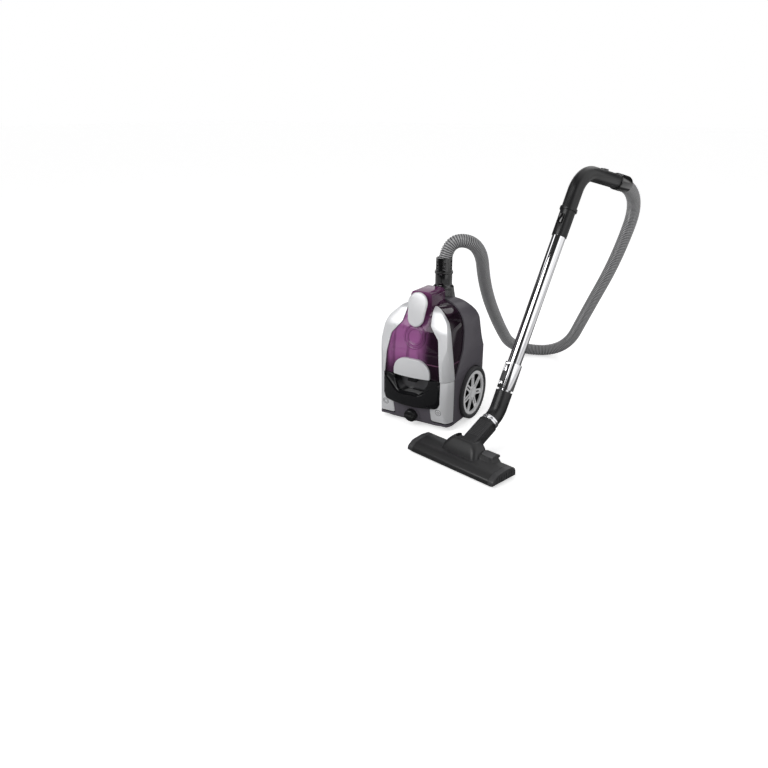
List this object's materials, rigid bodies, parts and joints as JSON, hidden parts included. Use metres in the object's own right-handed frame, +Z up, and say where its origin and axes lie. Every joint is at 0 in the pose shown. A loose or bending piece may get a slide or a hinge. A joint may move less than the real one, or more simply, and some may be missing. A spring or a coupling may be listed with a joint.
{
  "type": "canister vacuum cleaner",
  "caption": "Upright-bodied canister vacuum cleaner with a clear dust bin, side wheels, ribbed hose, bent handle, telescopic tube and floor head.",
  "frame": {"origin": "on the floor under the canister, on its middle plane", "axes": "+Z up, -Y out of the canister's front, +X to the right of one who faces the front"},
  "size_m": [0.5324, 1.0122, 0.6856],
  "materials": {
    "dark_body": "satin grey-violet plastic",
    "silver": "silver painted plastic",
    "clear_bin": "clear violet plastic",
    "black_gloss": "glossy black plastic",
    "black_satin": "satin black plastic",
    "head_trim": "grey plastic",
    "tyre": "soft dark rubber",
    "steel": "plain steel",
    "chrome": "polished chrome",
    "hose_grey": "ribbed grey plastic",
    "filter": "filter fleece and bristles"
  },
  "bodies": {
    "canister": {"rear_housing": "dark_body", "base_pan": "dark_body", "pan_screws": "steel", "chin_panel": "dark_body", "axle_pins": "steel", "motor": "steel", "motor_rings": "tyre", "motor_cradle": "black_satin", "reel_axle": "steel", "cord_outlet": "black_satin", "power_switch": "black_satin", "inlet_elbow": "dark_body", "exhaust_grille": "dark_body", "exhaust_filter": "filter", "hose_connector": "black_gloss", "hose": "hose_grey", "hose_floor": "hose_grey", "hose_rise": "hose_grey", "head_shell": "black_satin", "end_caps": "head_trim", "sole_plate": "head_trim"},
    "wheel_right": {"tyre_right": "tyre", "rim_right": "silver"},
    "wheel_left": {"tyre_left": "tyre", "rim_left": "silver"},
    "caster": {"caster_fork": "black_satin", "caster_pin": "steel"},
    "caster_wheel": {"caster_roller": "tyre"},
    "power": {"power_pedal": "silver"},
    "rewind": {"rewind_pedal": "silver"},
    "knob": {"suction_knob": "dark_body"},
    "fan": {"impeller": "black_satin"},
    "reel": {"cord_reel": "black_satin", "wound_cord": "tyre"},
    "bin": {"bin_cup": "clear_bin", "bin_base": "black_gloss", "bin_plate": "silver", "trim_left": "silver", "trim_right": "silver"},
    "lid": {"bin_lid": "clear_bin", "latch_pin": "steel", "mesh_shroud": "black_satin", "cyclone_cone": "black_satin"},
    "latch": {"lid_latch": "silver"},
    "release": {"release_button": "black_gloss"},
    "cuff": {"hose_cuff": "black_gloss"},
    "knuckle": {"knuckle": "black_satin"},
    "elbow": {"neck": "black_satin", "swivel_ring": "chrome", "inner_tube": "chrome"},
    "wand": {"outer_tube": "chrome", "slider_collar": "black_gloss", "handle_grip": "black_gloss"},
    "lock": {"lock_button": "black_gloss"},
    "catch": {"handle_button": "black_gloss"},
    "bleed": {"air_slide": "black_gloss"},
    "end_cuff": {"hose_end_cuff": "black_gloss"},
    "rocker": {"foot_rocker": "head_trim"},
    "brush": {"brush_strips": "filter"},
    "head_wheels": {"head_rollers": "tyre"}
  },
  "joints": [
    {"name": "right_wheel_turn", "type": "hinge", "parent": "canister", "child": "wheel_right", "pos_m": [0.113, 0.06, 0.075], "axis": [1, 0, 0], "continuous": true},
    {"name": "left_wheel_turn", "type": "hinge", "parent": "canister", "child": "wheel_left", "pos_m": [-0.113, 0.06, 0.075], "axis": [1, 0, 0], "continuous": true},
    {"name": "caster_swivel", "type": "hinge", "parent": "canister", "child": "caster", "pos_m": [0, -0.038, 0.02], "axis": [0, 0, 1], "continuous": true},
    {"name": "caster_roll", "type": "hinge", "parent": "caster", "child": "caster_wheel", "pos_m": [0, -0.033, 0.013], "axis": [1, 0, 0], "continuous": true},
    {"name": "power_press", "type": "slide", "parent": "canister", "child": "power", "axis": [0, 0, -1], "range_m": [0, 0.004], "stiffness_N_per_m": 500, "springref_m": -0.003},
    {"name": "rewind_press", "type": "slide", "parent": "canister", "child": "rewind", "axis": [0, 0, -1], "range_m": [0, 0.004], "stiffness_N_per_m": 500, "springref_m": -0.003},
    {"name": "knob_turn", "type": "hinge", "parent": "canister", "child": "knob", "pos_m": [0, -0.0788, 0.034], "axis": [0, -0.9724, -0.2334], "range_deg": [-135, 135]},
    {"name": "fan_spin", "type": "hinge", "parent": "canister", "child": "fan", "pos_m": [0, 0.03, 0.14], "axis": [0, 1, 0], "continuous": true},
    {"name": "reel_turn", "type": "hinge", "parent": "canister", "child": "reel", "pos_m": [0, 0.09, 0.04], "axis": [0, 0, 1], "continuous": true},
    {"name": "bin_out", "type": "slide", "parent": "canister", "child": "bin", "axis": [0, -1, 0], "range_m": [0, 0.2]},
    {"name": "lid_lift", "type": "slide", "parent": "bin", "child": "lid", "axis": [0, 0, 1], "range_m": [0, 0.06]},
    {"name": "latch_swing", "type": "hinge", "parent": "lid", "child": "latch", "pos_m": [0, -0.04663, 0.35837], "axis": [-1, 0, 0], "range_deg": [0, 12], "stiffness_Nm_per_rad": 0.3, "springref_deg": -8.59},
    {"name": "release_press", "type": "slide", "parent": "bin", "child": "release", "axis": [0, 1, 0], "range_m": [0, 0.003], "stiffness_N_per_m": 300, "springref_m": -0.002},
    {"name": "cuff_swivel", "type": "hinge", "parent": "canister", "child": "cuff", "pos_m": [0, 0.084, 0.4], "axis": [0, 0, 1], "continuous": true},
    {"name": "wand_tilt", "type": "hinge", "parent": "canister", "child": "knuckle", "pos_m": [0.22621, -0.19088, 0.038], "axis": [0.9707, -0.2402, 0], "range_deg": [-24, 27], "deforming": ["hose_rise"]},
    {"name": "wand_swivel", "type": "hinge", "parent": "knuckle", "child": "elbow", "pos_m": [0.2459, -0.11131, 0.07977], "axis": [0.214, 0.8649, 0.454], "range_deg": [-20, 40], "deforming": ["hose_rise"]},
    {"name": "telescope", "type": "slide", "parent": "elbow", "child": "wand", "axis": [0.1091, 0.4407, 0.891], "range_m": [0, 0.3], "deforming": ["hose_rise"]},
    {"name": "lock_slide", "type": "slide", "parent": "wand", "child": "lock", "axis": [0.1091, 0.4407, 0.891], "range_m": [0, 0.012], "stiffness_N_per_m": 150, "springref_m": -0.004},
    {"name": "catch_press", "type": "slide", "parent": "wand", "child": "catch", "axis": [0.214, 0.8649, -0.454], "range_m": [0, 0.002], "stiffness_N_per_m": 300, "springref_m": -0.002},
    {"name": "bleed_slide", "type": "slide", "parent": "wand", "child": "bleed", "axis": [0.235, 0.9495, -0.2079], "range_m": [0, 0.014]},
    {"name": "end_cuff_swivel", "type": "hinge", "parent": "wand", "child": "end_cuff", "pos_m": [0.36467, 0.36862, 0.63952], "axis": [0.235, 0.9495, -0.2079], "continuous": true},
    {"name": "rocker_press", "type": "hinge", "parent": "canister", "child": "rocker", "pos_m": [0.29537, -0.20696, 0.033], "axis": [0.9707, -0.2402, 0], "range_deg": [0, 10]},
    {"name": "brush_drop", "type": "slide", "parent": "canister", "child": "brush", "axis": [0, 0, -1], "range_m": [0, 0.0025]},
    {"name": "head_roll", "type": "hinge", "parent": "canister", "child": "head_wheels", "pos_m": [0.22621, -0.19088, 0.009], "axis": [0.9707, -0.2402, 0], "continuous": true}
  ],
  "couplings": [
    {"joint": "brush_drop", "follows": "rocker_press", "m_per_rad": 0.014324}
  ]
}
